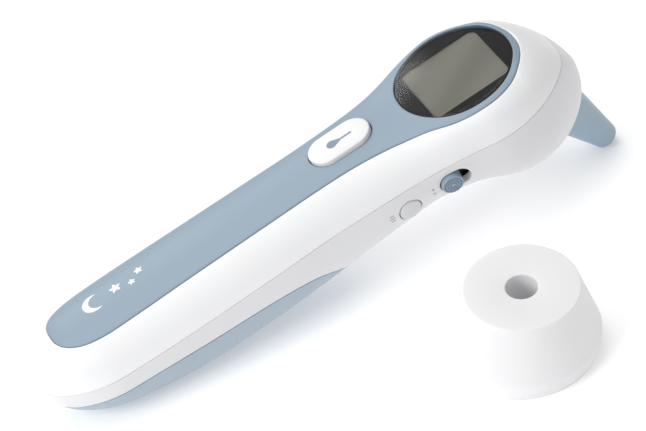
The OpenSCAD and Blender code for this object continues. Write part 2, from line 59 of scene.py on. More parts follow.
# the body: half width, lowest level, crown and widest level along X, then its section's
# exponents, then the length and exponent that round width, rise and drop off at each end
GRIP_X, HEAD_X = -2.5, 155.5
WIDTH = [[-2, 14], [15, 16.25], [35, 17], [60, 16.75], [80, 16.25], [95, 16.75],
         [107, 17.5], [118, 19.25], [128, 21.25], [140, 21.25], [156, 18.75]]
BOTTOM = [[-2, -18.25], [15, -23], [35, -26.75], [60, -27.25], [80, -26.25],
          [95, -24.5], [107, -23.5], [118, -25.5], [128, -30.25], [140, -33], [156, -35]]
CROWN = [[-2, 1.6], [90, 1.6], [110, 1.1], [156, 1.6]]
WIDEST = [[-2, -11.5], [80, -11.5], [125, -9.75], [156, -17]]
TOP_EXP = [[-2, 2.45], [80, 2.45], [105, 2.7], [125, 4.5], [140, 3], [156, 3]]
BOTTOM_EXP = 2.65
GRIP_END = [[20, 2.2], [13, 2.2], [15, 2.2]]
HEAD_END = [[29.5, 2], [16, 1.4], [25.5, 2.1]]

# the faceplate: half width along X, its ends, its underside and the floor below it
FACE = [[6, 9.9], [28, 9.9], [45, 9.6], [65, 9.3], [82, 9.1], [92, 9.4], [100, 10.2],
        [106, 11.4], [112, 13.2], [118, 15.8], [123, 17.2], [127, 17.6], [146, 17.6]]
FACE_X = (7, 144.5)
FACE_ENDS = [[16, 2.7], [17.6, 2]]
FACE_BOTTOM = -0.9
FLOOR_Z = -2.3

# screws, the board they hold, and the battery cover's edge in side view
BOARD_TOP = -6.2
SCREW_R = 0.8
CASE_SCREWS = [(18, 8.6), (18, -8.6)]
BOARD_SCREWS = [(67, 8), (67, -8), (105, 8.6), (105, -8.6)]
COVER_EDGE = [[-10, -14.2], [20, -14.2], [28, -14.4], [36, -14.8], [45, -15.3],
              [54, -15.8], [61, -16.4], [66, -17.1], [70, -18], [73, -19.2], [76, -21],
              [79, -23.4], [81.5, -26], [83.5, -30]]

# window, controls, probe, battery bay and cap
WINDOW_X, WINDOW_R = 127, 15.85
BUTTON_X, BUTTON_LEN, BUTTON_WID, BUTTON_TOP = 93.35, 17.3, 10, 2.5
MEMORY_AT, MEMORY_TILT, MEMORY_D = np.array([98.8, -15.9, -15.8]), 12, 6
SLIDER_AT, SLIDER_TILT, SLIDER_YAW = np.array([112, -17.65, -14.7]), 11, -9
KNOB_D, SLIDER_TRAVEL = 5.8, 2.2
PROBE_TIP, PROBE_LEAN = np.array([154.75, 0, -46.4]), 22.7
PROBE_R, PROBE_HALF, TIP_ROUND = 3.45, math.radians(9.9), 1.5
PROBE_FLANGE_Z, PROBE_LEN = 26.2, 27.4
BAY_TOP, BAY_PLATE, BAY_END_X, BAY_WALL = -11.3, 1.3, 79.3, 1.4
CAP_AT = np.array([106.6 + PLACE[0], -57.7 + PLACE[1], 0])
CAP_SIDE_R, CAP_TOP_R, CAP_HEIGHT, CAP_WALL, CAP_HOLE_R = 18.7, 14.3, 22.8, 1.7, 4
CAP_SLANT, CAP_TURN = math.radians(10), math.radians(-58.5)
CAP_SKIRT, CAP_TUCK, CAP_SLEEVE = 8, 2.3, 9.3

# ---------------------------------------------------------------- how the meshes are made
# SKIN is how far the body lies inside the CAD's, and SNAP how close to a cut a point may be.
SKIN = 0.04
RINGS, ROUND, TRACED = 240, 220, 1440
FACE_SAMPLES, COVER_SAMPLES = 161, 180
SNAP = 0.004

# ---------------------------------------------------------------- curve helpers
def smooth(table, x):
    """Cubic through the table's points with central-difference slopes."""
    xs, ys = np.array(table, float).T
    slope = np.gradient(ys, xs)
    slope[1:-1] = (ys[2:] - ys[:-2]) / (xs[2:] - xs[:-2])
    i = np.clip(np.searchsorted(xs, x, side="right") - 1, 0, len(xs) - 2)
    h = xs[i + 1] - xs[i]
    u = np.clip((x - xs[i]) / h, 0, 1)
    return (ys[i] * (2 * u**3 - 3 * u**2 + 1) + h * slope[i] * (u**3 - 2 * u**2 + u)
            + ys[i + 1] * (3 * u**2 - 2 * u**3) + h * slope[i + 1] * (u**3 - u**2))


def end_round(x, x0, start, x1, end):
    """Share of full size at x, from 0 at both ends along a superellipse to 1."""
    a = 1 - np.clip((x - x0) / start[0], 0, 1)
    b = 1 - np.clip((x1 - x) / end[0], 0, 1)
    return (1 - a ** start[1]) ** (1 / start[1]) * (1 - b ** end[1]) ** (1 / end[1])


def section(x):
    """Half width, widest level, rise, drop and upper exponent of the body at x."""
    ends = [end_round(x, GRIP_X, GRIP_END[k], HEAD_X, HEAD_END[k]) for k in range(3)]
    mid = smooth(WIDEST, x)
    return (smooth(WIDTH, x) * ends[0], mid, (smooth(CROWN, x) - mid) * ends[1],
            (mid - smooth(BOTTOM, x)) * ends[2], smooth(TOP_EXP, x))


def top_z(x, y):
    """Level of the body's upper side."""
    w, mid, rise, _, n = section(x)
    return mid + rise * (1 - np.clip(np.abs(y) / w, 0, 1) ** n) ** (1 / n)


def flank_y(x, z):
    """Near side of the body below its widest level."""
    w, mid, _, drop, _ = section(x)
    return -w * (1 - np.clip(np.abs(mid - z) / drop, 0, 1) ** BOTTOM_EXP) ** (1 / BOTTOM_EXP)


def world(p):
    """Body frame in millimetres to the frame in metres."""
    c, s = math.cos(PITCH), math.sin(PITCH)
    q = np.column_stack([p[:, 0] * c - p[:, 2] * s, p[:, 1], p[:, 0] * s + p[:, 2] * c])
    return (q + PLACE) / 1000


# ---------------------------------------------------------------- meshes
def shade(mesh, angle):
    """Smooth shading, except across edges sharper than the angle."""
    mesh.polygons.foreach_set("use_smooth", [True] * len(mesh.polygons))
    mesh.set_sharp_from_angle(angle=math.radians(angle))


def piece(name, points, faces, body, mat, nodes=(), angle=38):
    """A finished mesh piece, points in metres, that rides on a body."""
    mesh = bpy.data.meshes.new(name)
    mesh.from_pydata(np.asarray(points).tolist(), [], [list(map(int, f)) for f in faces])
    bm = bmesh.new()
    bm.from_mesh(mesh)
    bmesh.ops.remove_doubles(bm, verts=bm.verts, dist=1e-7)
    bmesh.ops.dissolve_degenerate(bm, edges=bm.edges, dist=1e-7)
    bmesh.ops.recalc_face_normals(bm, faces=bm.faces)
    bm.to_mesh(mesh)
    bm.free()
    shade(mesh, angle)
    obj = bpy.data.objects.new(name, mesh)
    bpy.context.scene.collection.objects.link(obj)
    mesh.materials.append(mat)
    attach(obj, body)
    if nodes:
        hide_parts(*nodes)
    return obj


def join(*parts):
    """Several (points, faces) sets as one."""
    points, faces, base = [], [], 0
    for p, f in parts:
        points.append(p)
        faces += [[i + base for i in face] for face in f]
        base += len(p)
    return np.vstack(points), faces


def dense_body():
    """Closed loft of the whole body, evenly spaced round each ring, with its normals."""
    turn = np.linspace(0, 2 * math.pi, TRACED + 1)
    c, s = np.cos(turn), np.sin(turn)
    rings = []
    for i in range(RINGS):
        # the rings crowd towards both ends and stop just short of them
        along = math.pi * (i + 0.6) / (RINGS + 0.2)
        x = GRIP_X + (HEAD_X - GRIP_X) * (0.5 - 0.5 * math.cos(along))
        w, mid, rise, drop, n = section(np.array(x))
        e = np.where(s >= 0, 2 / n, 2 / BOTTOM_EXP)
        y = w * np.sign(c) * np.abs(c) ** e
        z = mid + np.where(s >= 0, rise, drop) * np.sign(s) * np.abs(s) ** e
        run = np.concatenate([[0], np.cumsum(np.hypot(np.diff(y), np.diff(z)))])
        at = np.linspace(0, run[-1], ROUND + 1)[:-1]
        rings.append(np.column_stack([np.full(ROUND, x), np.interp(at, run, y),
                                      np.interp(at, run, z)]))
    ends = [[x, 0, float(smooth(WIDEST, np.array(x)))] for x in (GRIP_X, HEAD_X)]
    points = np.vstack(rings + [ends])
    i, j = np.meshgrid(np.arange(RINGS - 1), np.arange(ROUND), indexing="ij")
    k = (j + 1) % ROUND
    a, b, d, e = i * ROUND + j, (i + 1) * ROUND + j, (i + 1) * ROUND + k, i * ROUND + k
    faces = np.concatenate([np.stack([a, d, b], -1).reshape(-1, 3),
                            np.stack([a, e, d], -1).reshape(-1, 3)])
    j = np.arange(ROUND)
    k = (j + 1) % ROUND
    tip = RINGS * ROUND
    last = (RINGS - 1) * ROUND
    faces = np.concatenate([faces, np.column_stack([np.full(ROUND, tip), k, j]),
                            np.column_stack([np.full(ROUND, tip + 1), last + j, last + k])])
    first, second, third = (points[faces[:, corner]] for corner in range(3))
    cross = np.cross(second - first, third - first)
    if (first * cross).sum() < 0:
        faces, cross = faces[:, ::-1], -cross
    normals = np.zeros_like(points)
    for corner in range(3):
        np.add.at(normals, faces[:, corner], cross)
    return points, normals / np.linalg.norm(normals, axis=1, keepdims=True), faces


def split(data, faces, column, level):
    """Cuts every triangle that crosses a level of one field, so that none does."""
    s = data[:, column] - level
    s[np.abs(s) < SNAP] = 0
    sign = np.sign(s).astype(int)
    corner = sign[faces]
    mixed = (corner.min(1) < 0) & (corner.max(1) > 0)
    todo = faces[mixed]
    if not len(todo):
        return data, faces
    edges = np.sort(todo[:, [[0, 1], [1, 2], [2, 0]]].reshape(-1, 2), 1)
    crossing = sign[edges[:, 0]] * sign[edges[:, 1]] < 0
    pairs, back = np.unique(edges[crossing], axis=0, return_inverse=True)
    t = (s[pairs[:, 0]] / (s[pairs[:, 0]] - s[pairs[:, 1]]))[:, None]
    fresh = data[pairs[:, 0]] * (1 - t) + data[pairs[:, 1]] * t
    number = np.full(len(edges), -1)
    number[crossing] = len(data) + back.reshape(-1)
    out = []
    for face, mark in zip(todo, number.reshape(-1, 3)):
        hit = mark >= 0
        if hit.sum() == 1:
            # the cut runs from a corner to the far edge: two triangles
            k = int(np.argmax(hit))
            a, b, c = face[k], face[(k + 1) % 3], face[(k + 2) % 3]
            out += [(a, mark[k], c), (mark[k], b, c)]
        else:
            # the cut crosses two edges: one triangle and a quad
            k = int(np.argmin(hit))
            a, b, c = face[k], face[(k + 1) % 3], face[(k + 2) % 3]
            p, q = mark[(k + 1) % 3], mark[(k + 2) % 3]
            out += [(c, q, p), (q, a, b), (q, b, p)]
    return np.vstack([data, fresh]), np.concatenate([faces[~mixed], np.array(out)])


def cut(body, trims):
    """The body's skin where every trim field is positive: points, normals, edge rounding, faces.

    A trim is a field and the radius that rounds the edge it leaves."""
    points, normals, faces = body
    # columns 0 to 5 hold the point and the normal, and each trim's field follows
    data = np.hstack([points, normals] + [f(points)[:, None] for f, _ in trims])
    for k, (_, radius) in enumerate(trims, 6):
        data, faces = split(data, faces, k, 0)
        faces = faces[data[faces, k].mean(1) > 0]
        if not radius:
            continue
        for turn in (67.5, 45, 22.5, 0):
            data, faces = split(data, faces, k, radius * (1 - math.sin(math.radians(turn))))
    used, back = np.unique(faces, return_inverse=True)
    data, faces = data[used], back.reshape(-1, 3)
    p = data[:, :3]
    n = data[:, 3:6] / np.linalg.norm(data[:, 3:6], axis=1, keepdims=True)
    sink = np.zeros(len(p))
    for k, (_, radius) in enumerate(trims, 6):
        if radius:
            d = np.clip(data[:, k], 0, radius)
            sink += radius - np.sqrt(radius**2 - (radius - d) ** 2)
    return p, n, sink, faces


def shell(body, trims, inner):
    """A closed shell with rounded edges."""
    p, n, sink, faces = cut(body, trims)
    return closed(p - n * sink[:, None], inner(p, n), faces)


def flat_slab(body, trims, z0, z1):
    """A level plate with the plan that the trims leave."""
    p, _, _, faces = cut(body, trims)
    level = np.ones(len(p))
    plan = p[:, :2]
    return closed(np.column_stack([plan, z1 * level]), np.column_stack([plan, z0 * level]), faces)


def closed(outer, under, faces):
    """Joins a skin and its lower copy into one solid."""
    faces = np.asarray(faces)
    size = len(outer)
    edges = faces[:, [[0, 1], [1, 2], [2, 0]]].reshape(-1, 2)
    key = edges[:, 0].astype(np.int64) * size + edges[:, 1]
    twin = edges[:, 1].astype(np.int64) * size + edges[:, 0]
    rim = edges[~np.isin(key, twin)]
    out = faces.tolist() + (faces[:, ::-1] + size).tolist()
    out += [[j, i, i + size, j + size] for i, j in rim.tolist()]
    return np.vstack([outer, under]), out


def ring_faces(order, count):
    """Quads from each ring in the order to the next; every ring has count points."""
    faces = []
    for i, m in zip(order[:-1], order[1:]):
        for j in range(count):
            k = (j + 1) % count
            faces.append([i * count + j, i * count + k, m * count + k, m * count + j])
    return faces


def lathe(rings, segments=96, stretch=0.0):
    """Closed solid round Z through (radius, height) rings, drawn out along X by stretch each way.

    It closes from the last ring to the first, unless both end on the axis."""
    half = np.linspace(-math.pi / 2, math.pi / 2, segments // 2 + 1)
    angle = np.concatenate([half, half + math.pi])
    shift = np.where(np.arange(len(angle)) < len(half), stretch, -stretch)
    count = len(angle)
    c, s = np.cos(angle), np.sin(angle)
    points = np.vstack([np.column_stack([r * c + shift, r * s, np.full(count, z)]) for r, z in rings])
    order = list(range(len(rings)))
    if rings[0][0] or rings[-1][0]:
        order.append(0)
    return points, ring_faces(order, count)


def arc(cx, cz, r, a0, a1, steps=6):
    """Points along an arc about (cx, cz) from a0 to a1 degrees."""
    return [(cx + r * math.cos(math.radians(a)), cz + r * math.sin(math.radians(a)))
            for a in np.linspace(a0, a1, steps + 1)]


def prism(outline, z0, z1):
    """Closed solid that raises a flat outline from z0 to z1."""
    k = len(outline)
    flat = np.asarray(outline, float)
    points = np.vstack([np.column_stack([flat, np.full(k, z)]) for z in (z0, z1)])
    faces = [list(range(k))[::-1], list(range(k, 2 * k))]
    faces += [[i, (i + 1) % k, (i + 1) % k + k, i + k] for i in range(k)]
    return points, faces


def axes_of(tilt, yaw):
    """The three axes of a control's own frame on the near flank."""
    t, y = math.radians(90 + tilt), math.radians(yaw)
    turn = np.array([[math.cos(y), -math.sin(y), 0], [math.sin(y), math.cos(y), 0], [0, 0, 1]])
    lean = np.array([[1, 0, 0], [0, math.cos(t), -math.sin(t)], [0, math.sin(t), math.cos(t)]])
    return turn @ lean


def probe_axes():
    """The three axes of the probe's own frame, which leans away from the grip."""
    t = -math.radians(PROBE_LEAN)
    return np.array([[math.cos(t), 0, math.sin(t)], [0, 1, 0], [-math.sin(t), 0, math.cos(t)]])


def placed(shape, at=(0, 0, 0), axes=np.eye(3)):
    """A shape from its own frame, by way of the body's, as points in metres and faces."""
    points, faces = shape
    return world(points @ axes.T + at), faces


def probe_r(z):
    """Radius of the probe's cone at a height over its tip."""
    return PROBE_R + (z - TIP_ROUND * (1 - math.sin(PROBE_HALF))) * math.tan(PROBE_HALF)


# ---------------------------------------------------------------- trim fields
# A trim field is a distance in millimetres, positive where the skin stays. FAR stands for
# no trim, and CUT_DEPTH is how deep a hole in the flank reaches.
FAR = 50
CUT_DEPTH = 6
BORE_GAP = 0.08


def face_half(x):
    """Half width of the faceplate."""
    return smooth(FACE, x) * end_round(x, FACE_X[0], FACE_ENDS[0], FACE_X[1], FACE_ENDS[1])


def to_line(p, line):
    """Distance of 2D points to a polyline."""
    best = np.full(len(p), 1e9)
    for a, b in zip(line[:-1], line[1:]):
        e = b - a
        t = np.clip(((p - a) @ e) / max(e @ e, 1e-12), 0, 1)
        best = np.minimum(best, np.hypot(*(p - a - t[:, None] * e).T))
    return best


def outside_face(p):
    """Distance outside the faceplate's outline, in plan."""
    u = 0.5 - 0.5 * np.cos(np.linspace(0, math.pi, FACE_SAMPLES))
    x = FACE_X[0] + (FACE_X[1] - FACE_X[0]) * u
    line = np.column_stack([x, face_half(x)])
    flat = np.column_stack([p[:, 0], np.abs(p[:, 1])])
    inside = (p[:, 0] > FACE_X[0]) & (p[:, 0] < FACE_X[1]) & (flat[:, 1] < face_half(p[:, 0]))
    return to_line(flat, line) * np.where(inside, -1, 1)


def above_cover(p):
    """Distance above the battery cover's edge, in side view."""
    end = COVER_EDGE[-1][0]
    x = np.linspace(COVER_EDGE[0][0], end, COVER_SAMPLES)
    line = np.vstack([np.column_stack([x, smooth(COVER_EDGE, x)]), [end, -60]])
    flat = p[:, [0, 2]]
    above = (flat[:, 0] > end) | (flat[:, 1] > smooth(COVER_EDGE, flat[:, 0]))
    return to_line(flat, line) * np.where(above, 1, -1)


def hole(at, tilt, yaw, radius, half):
    """Field of an obround hole in the near flank; half is half of its straight length."""
    axes = axes_of(tilt, yaw)

    def field(p):
        q = (p - at) @ axes
        d = np.hypot(np.maximum(np.abs(q[:, 0]) - half, 0), q[:, 1]) - radius
        return np.where(q[:, 2] > -CUT_DEPTH, d, FAR)
    return field


def bore(p):
    """Field of the conical hole that the probe comes through."""
    q = (p - PROBE_TIP) @ probe_axes()
    return np.hypot(q[:, 0], q[:, 1]) - (probe_r(0) + q[:, 2] * math.tan(PROBE_HALF) + BORE_GAP)


def obround(p, cx, length, width):
    """Distance outside an obround on the centre line, in plan."""
    half = (length - width) / 2
    return np.hypot(np.maximum(np.abs(p[:, 0] - cx) - half, 0), p[:, 1]) - width / 2


def inset(body):
    """The body a hair inside its true skin, so that the visual model stays in the CAD box."""
    points, normals, faces = body
    return points - normals * SKIN, normals, faces


def inward(p, n):
    """The inner side of a wall."""
    return p - n * WALL


# ---------------------------------------------------------------- materials
def new_material(name):
    """A new material, its node tree and its shader."""
    mat = bpy.data.materials.new(name)
    mat.use_nodes = True
    tree = mat.node_tree
    return mat, tree, tree.nodes["Principled BSDF"]


def moulded(name, colour, rough, mottle=0.015, grain=2600, bump=0.12, depth=0.00002, **sockets):
    """Moulded plastic: faint cloudiness, a fine spark-eroded grain and uneven gloss."""
    cloud_scale, gloss_spread = 70, 0.05
    mat, tree, bsdf = new_material(name)
    link = tree.links.new
    coords = tree.nodes.new("ShaderNodeTexCoord")
    cloud = tree.nodes.new("ShaderNodeTexNoise")
    cloud.inputs["Scale"].default_value = cloud_scale
    cloud.inputs["Detail"].default_value = 3
    link(coords.outputs["Object"], cloud.inputs["Vector"])
    mix = tree.nodes.new("ShaderNodeMix")
    mix.data_type = "RGBA"
    mix.inputs["A"].default_value = (*[c * (1 - mottle) for c in colour], 1)
    mix.inputs["B"].default_value = (*[min(1, c * (1 + mottle)) for c in colour], 1)
    link(cloud.outputs["Fac"], mix.inputs["Factor"])
    link(mix.outputs["Result"], bsdf.inputs["Base Color"])
    fine = tree.nodes.new("ShaderNodeTexNoise")
    fine.inputs["Scale"].default_value = grain
    fine.inputs["Detail"].default_value = 2
    link(coords.outputs["Object"], fine.inputs["Vector"])
    gloss = tree.nodes.new("ShaderNodeMapRange")
    gloss.inputs["To Min"].default_value = rough - gloss_spread
    gloss.inputs["To Max"].default_value = rough + gloss_spread
    link(cloud.outputs["Fac"], gloss.inputs["Value"])
    link(gloss.outputs["Result"], bsdf.inputs["Roughness"])
    relief = tree.nodes.new("ShaderNodeBump")
    relief.inputs["Strength"].default_value = bump
    relief.inputs["Distance"].default_value = depth
    link(fine.outputs["Fac"], relief.inputs["Height"])
    link(relief.outputs["Normal"], bsdf.inputs["Normal"])
    for socket, value in sockets.items():
        bsdf.inputs[socket.replace("_", " ")].default_value = value
    return mat


def plated(name, colour, rough):
    """Plated metal with a slightly uneven surface."""
    return moulded(name, colour, rough, mottle=0.05, grain=900, bump=0.15, Metallic=1.0)


def display(name):
    """The liquid crystal panel: olive grey with soft lighter bands across it."""
    mat, tree, bsdf = new_material(name)
    link = tree.links.new
    coords = tree.nodes.new("ShaderNodeTexCoord")
    turn = tree.nodes.new("ShaderNodeMapping")
    turn.inputs["Rotation"].default_value = (0, 0, math.radians(62))
    link(coords.outputs["Object"], turn.inputs["Vector"])
    wave = tree.nodes.new("ShaderNodeTexWave")
    wave.inputs["Scale"].default_value = 22
    wave.inputs["Distortion"].default_value = 1.2
    wave.inputs["Detail"].default_value = 0
    link(turn.outputs["Vector"], wave.inputs["Vector"])
    ramp = tree.nodes.new("ShaderNodeValToRGB")
    ramp.color_ramp.elements[0].color = (0.345, 0.345, 0.275, 1)
    ramp.color_ramp.elements[1].color = (0.43, 0.43, 0.355, 1)
    link(wave.outputs["Fac"], ramp.inputs["Fac"])
    link(ramp.outputs["Color"], bsdf.inputs["Base Color"])
    bsdf.inputs["Roughness"].default_value = 0.35
    return mat


WHITE = moulded("white_shell", (0.865, 0.868, 0.877), 0.38)
# painted shade: the rear case is a darker copy of the white shell plastic, standing in for the shade
# on its downward-facing lower flank
SHADED_REAR_WHITE = moulded("rear_white_painted_shade", (0.745, 0.745, 0.76), 0.4)
CAP_WHITE = moulded("cap_white", (0.83, 0.83, 0.84), 0.45, Subsurface_Weight=0.25,
                    Subsurface_Scale=0.004, Subsurface_Radius=(1, 1, 1))
KEY = moulded("white_key", (0.8, 0.8, 0.812), 0.3, bump=0.05)
# painted shade: the recall key is a darker copy of the white key plastic, standing in for the shade
# on the lower flank where it sits
SHADED_SIDE_KEY = moulded("side_key_painted_shade", (0.66, 0.665, 0.68), 0.34, bump=0.05)
BLUE = moulded("blue_plastic", (0.262, 0.345, 0.424), 0.42, mottle=0.02, bump=0.18)
SIGN = moulded("sign_blue", (0.2, 0.265, 0.37), 0.4)
COVER = moulded("blue_cover", (0.385, 0.465, 0.54), 0.42, mottle=0.02, bump=0.18)
PROBE = moulded("blue_probe", (0.325, 0.43, 0.53), 0.36, mottle=0.02)
MARK = moulded("mark_white", (0.85, 0.86, 0.87), 0.4)
GREY_MARK = moulded("mark_grey", (0.42, 0.43, 0.45), 0.5)
BLACK = moulded("black_plastic", (0.018, 0.018, 0.02), 0.35)
MASK = moulded("black_mask", (0.006, 0.006, 0.007), 0.12, bump=0.02)
WINDOW = moulded("window", (0.012, 0.012, 0.014), 0.11, bump=0.0, Alpha=0.22, IOR=1.8)
LCD = display("lcd")
INNER_WHITE = moulded("white_plastic", (0.78, 0.78, 0.75), 0.4)
ZEBRA = moulded("zebra", (0.1, 0.05, 0.07), 0.7, mottle=0.3, grain=3000)
STEEL = plated("steel", (0.62, 0.63, 0.65), 0.28)
BOARD = moulded("board", (0.02, 0.13, 0.055), 0.3, mottle=0.2, grain=1200)
CELL = moulded("cell_wrap", (0.05, 0.17, 0.13), 0.25, mottle=0.1, Metallic=0.4)
GOLD = plated("gold", (0.8, 0.58, 0.25), 0.25)
DARK = moulded("dark_window", (0.02, 0.02, 0.024), 0.1, bump=0.02)

CAD_LOOK = {"display_mask": MASK, "lcd_glass": LCD, "lcd_frame": INNER_WHITE,
            "backlight_panel": INNER_WHITE, "zebra_strips": ZEBRA, "measure_plunger": BLACK,
            "measure_switch": STEEL, "main_pcb": BOARD, "pcb_chips": BLACK, "pcb_screws": STEEL,
            "buzzer": BLACK, "memory_plunger": BLACK, "memory_switch": STEEL,
            "side_board": BOARD, "slide_lever": BLACK, "slide_switch_body": STEEL,
            "battery_cell_left": CELL, "battery_cell_right": CELL, "battery_springs": STEEL,
            "battery_plates": STEEL, "case_screws": STEEL, "probe_window": DARK,
            "waveguide_tube": GOLD, "thermopile_can": STEEL, "sensor_leads": GOLD,
            "sensor_holder": INNER_WHITE}
for name, mat in CAD_LOOK.items():
    mesh = frame["nodes"][name].data
    mesh.materials.clear()
    mesh.materials.append(mat)

# ---------------------------------------------------------------- case
# HAIRLINE is the parting gap, EDGE and CASE_EDGE round edges, and the skin above TOP_SKIN_Z
# carries the faceplate. The rest is how far inner parts overlap or clear each other.
HAIRLINE = 0.06
EDGE = 0.25
CASE_EDGE = 0.16
TOP_SKIN_Z = -5
FLOOR_OVERLAP, FLOOR_GAP, WINDOW_LEDGE = 0.6, 0.08, 0.8
CASE_BOSS_R, BOARD_BOSS_R, BOSS_OVERLAP, BOSS_GAP = 2.6, 2.2, 0.3, 0.02
MEMORY_GAP, KNOB_GAP = 0.25, 0.2
BAY_START_X, BAY_LOW, BAY_OVERLAP = 0.5, -24, 0.2
BODY = inset(dense_body())


def face_skin(p):
    """Positive on the side that carries the faceplate."""
    return p[:, 2] - TOP_SKIN_Z


def window_hole(radius):
    """Field of a round hole about the window's axis."""
    return lambda p: np.hypot(p[:, 0] - WINDOW_X, p[:, 1]) - radius


def button_hole(gap):
    """Field of an obround hole that is wider than the measuring key by the gap."""
    return lambda p: obround(p, BUTTON_X, BUTTON_LEN + gap, BUTTON_WID + gap)


def boss(x, y, z0, z1, radius):
    """A tube that a screw goes into."""
    points, faces = lathe([(SCREW_R, z0), (radius, z0), (radius, z1), (SCREW_R, z1)], 32)
    return points + [x, y, 0], faces


def front_case():
    """The upper case half, with the floor under the faceplate and the screw bosses."""
    skin = shell(BODY, [
        (lambda p: p[:, 2] - (SPLIT_Z + HAIRLINE / 2), CASE_EDGE),
        (lambda p: outside_face(p) - SEAM, EDGE)], inward)
    ledge = flat_slab(BODY, [
        (face_skin, 0),
        (lambda p: FLOOR_OVERLAP - outside_face(p), 0),
        (window_hole(WINDOW_R - WINDOW_LEDGE), 0),
        (button_hole(0.7), 0)], FLOOR_Z, FACE_BOTTOM - FLOOR_GAP)
    boss_top = FLOOR_Z + BOSS_OVERLAP
    bosses = [boss(x, y, BAY_TOP + BOSS_GAP, boss_top, CASE_BOSS_R) for x, y in CASE_SCREWS]
    bosses += [boss(x, y, BOARD_TOP, boss_top, BOARD_BOSS_R) for x, y in BOARD_SCREWS]
    return join(skin, ledge, *bosses)


def lower_half_width(x, level):
    """Half width of the body at a level below its widest, and its full half width above."""
    w, mid, _, drop, _ = section(x)
    return w * (1 - ((mid - level) / drop).clip(0, 1) ** BOTTOM_EXP) ** (1 / BOTTOM_EXP)


def mirrored(along, across):
    """Closed outline of a shape that is symmetric across."""
    near, far = np.column_stack([along, across]), np.column_stack([along, -across])
    return np.vstack([near, far[::-1]])


def rear_case():
    """The lower case half, with the plate and the end wall of the battery bay."""
    skin = shell(BODY, [
        (lambda p: SPLIT_Z - HAIRLINE / 2 - p[:, 2], CASE_EDGE),
        (lambda p: above_cover(p) - SEAM, EDGE),
        (hole(MEMORY_AT, MEMORY_TILT, 0, MEMORY_D / 2 + MEMORY_GAP, 0), 0.3),
        (hole(SLIDER_AT, SLIDER_TILT, SLIDER_YAW, KNOB_D / 2 + KNOB_GAP, SLIDER_TRAVEL / 2), 0.35),
        (bore, 0.45)], inward)
    x = np.linspace(BAY_START_X, BAY_END_X, 60)
    across = lower_half_width(x, BAY_TOP - BAY_PLATE) - WALL + BAY_OVERLAP
    plate = prism(mirrored(x, across), BAY_TOP - BAY_PLATE, BAY_TOP)
    level = np.linspace(BAY_TOP, BAY_LOW, 24)
    across = lower_half_width(np.array(BAY_END_X), level) - WALL + BAY_OVERLAP
    points, faces = prism(mirrored(level, across)[:, ::-1], 0, BAY_WALL)
    end_wall = points[:, [2, 0, 1]] + [BAY_END_X, 0, 0], faces
    return join(skin, plate, end_wall)


def battery_door():
    """The cover, cut from the same body as the case."""
    return shell(BODY, [(lambda p: -above_cover(p), EDGE)], inward)


def face_panel():
    """The faceplate: crowned on top and flat underneath."""
    return shell(BODY, [
        (face_skin, 0),
        (lambda p: -outside_face(p), 0.3),
        (window_hole(WINDOW_R + 0.1), 0.2),
        (button_hole(0.5), 0.3)],
        lambda p, n: np.column_stack([p[:, :2], np.full(len(p), FACE_BOTTOM)]))


# ---------------------------------------------------------------- display window and button
def window_lens():
    """A shallow dome with a rounded rim."""
    rounding, crown, crown_r = 0.35, 0.3, 15.4
    rings = [(0, -rounding), (WINDOW_R, -rounding)]
    rings += arc(WINDOW_R - rounding, rounding, rounding, 0, 84)
    rings += [(r, 2 * rounding + crown * (1 - (r / crown_r) ** 2))
              for r in (15, 13, 11, 9, 7, 5, 3, 1.5, 0)]
    return lathe(rings, 160)


def start_button():
    """Obround key with a flange under the case, a rounded edge and a stem below."""
    r, rounding = BUTTON_WID / 2, 0.42
    flange_r, flange_low, flange_top = r + 0.8, -3.3, -2.6
    face = BUTTON_TOP - 0.03
    rings = [(0, flange_low), (flange_r, flange_low), (flange_r, flange_top), (r, flange_top)]
    rings += arc(r - rounding, face - 0.01 - rounding, rounding, 0, 86, 8) + [(2.4, face), (0, face)]
    key = lathe(rings, 96, (BUTTON_LEN - BUTTON_WID) / 2)
    stem = lathe([(0, -3.7), (1.6, -3.7), (1.6, -2.8), (0, -2.8)], 48)
    return join(key, stem)


def button_sign():
    """A thermometer sign: round bulb narrowing into a thin stem."""
    stem_x, stem_r = (0.6, 3.6), 0.32
    bulb = arc(-1.95, 0, 1.4, 52, 308, 28)
    end = arc(stem_x[1], 0, stem_r, -90, 90, 8)
    outline = bulb + [(stem_x[0], -stem_r)] + end + [(stem_x[0], stem_r)]
    return prism(outline, BUTTON_TOP - 0.3, BUTTON_TOP)


# ---------------------------------------------------------------- side controls
def recall_button():
    """Low round key with a rounded edge and a stem below."""
    r, rounding = MEMORY_D / 2, 0.55
    rings = [(0, -2.4), (r, -2.4)] + arc(r - rounding, 0.02, rounding, 0, 80, 8)
    rings += [(1.4, 0.63), (0, 0.65)]
    return join(lathe(rings, 72), lathe([(0, -3), (1, -3), (1, -2.3), (0, -2.3)], 32))


def mode_knob():
    """Round knob with three ring grooves, at the grip end of its slot."""
    r, top, rounding, depth = KNOB_D / 2, 1.05, 0.35, 0.3
    rings = [(0, -1.9), (r, -1.9)] + arc(r - rounding, top - rounding, rounding, 0, 90, 6)
    for groove in (2.2, 1.5, 0.8):
        rings += [(groove + 0.2, top), (groove + 0.09, top - depth),
                  (groove - 0.09, top - depth), (groove - 0.2, top)]
    rings += [(0, top)]
    points, faces = join(lathe(rings, 72), lathe([(0, -3), (1.5, -3), (1.5, -1.8), (0, -1.8)], 32))
    return points - [SLIDER_TRAVEL / 2, 0, 0], faces


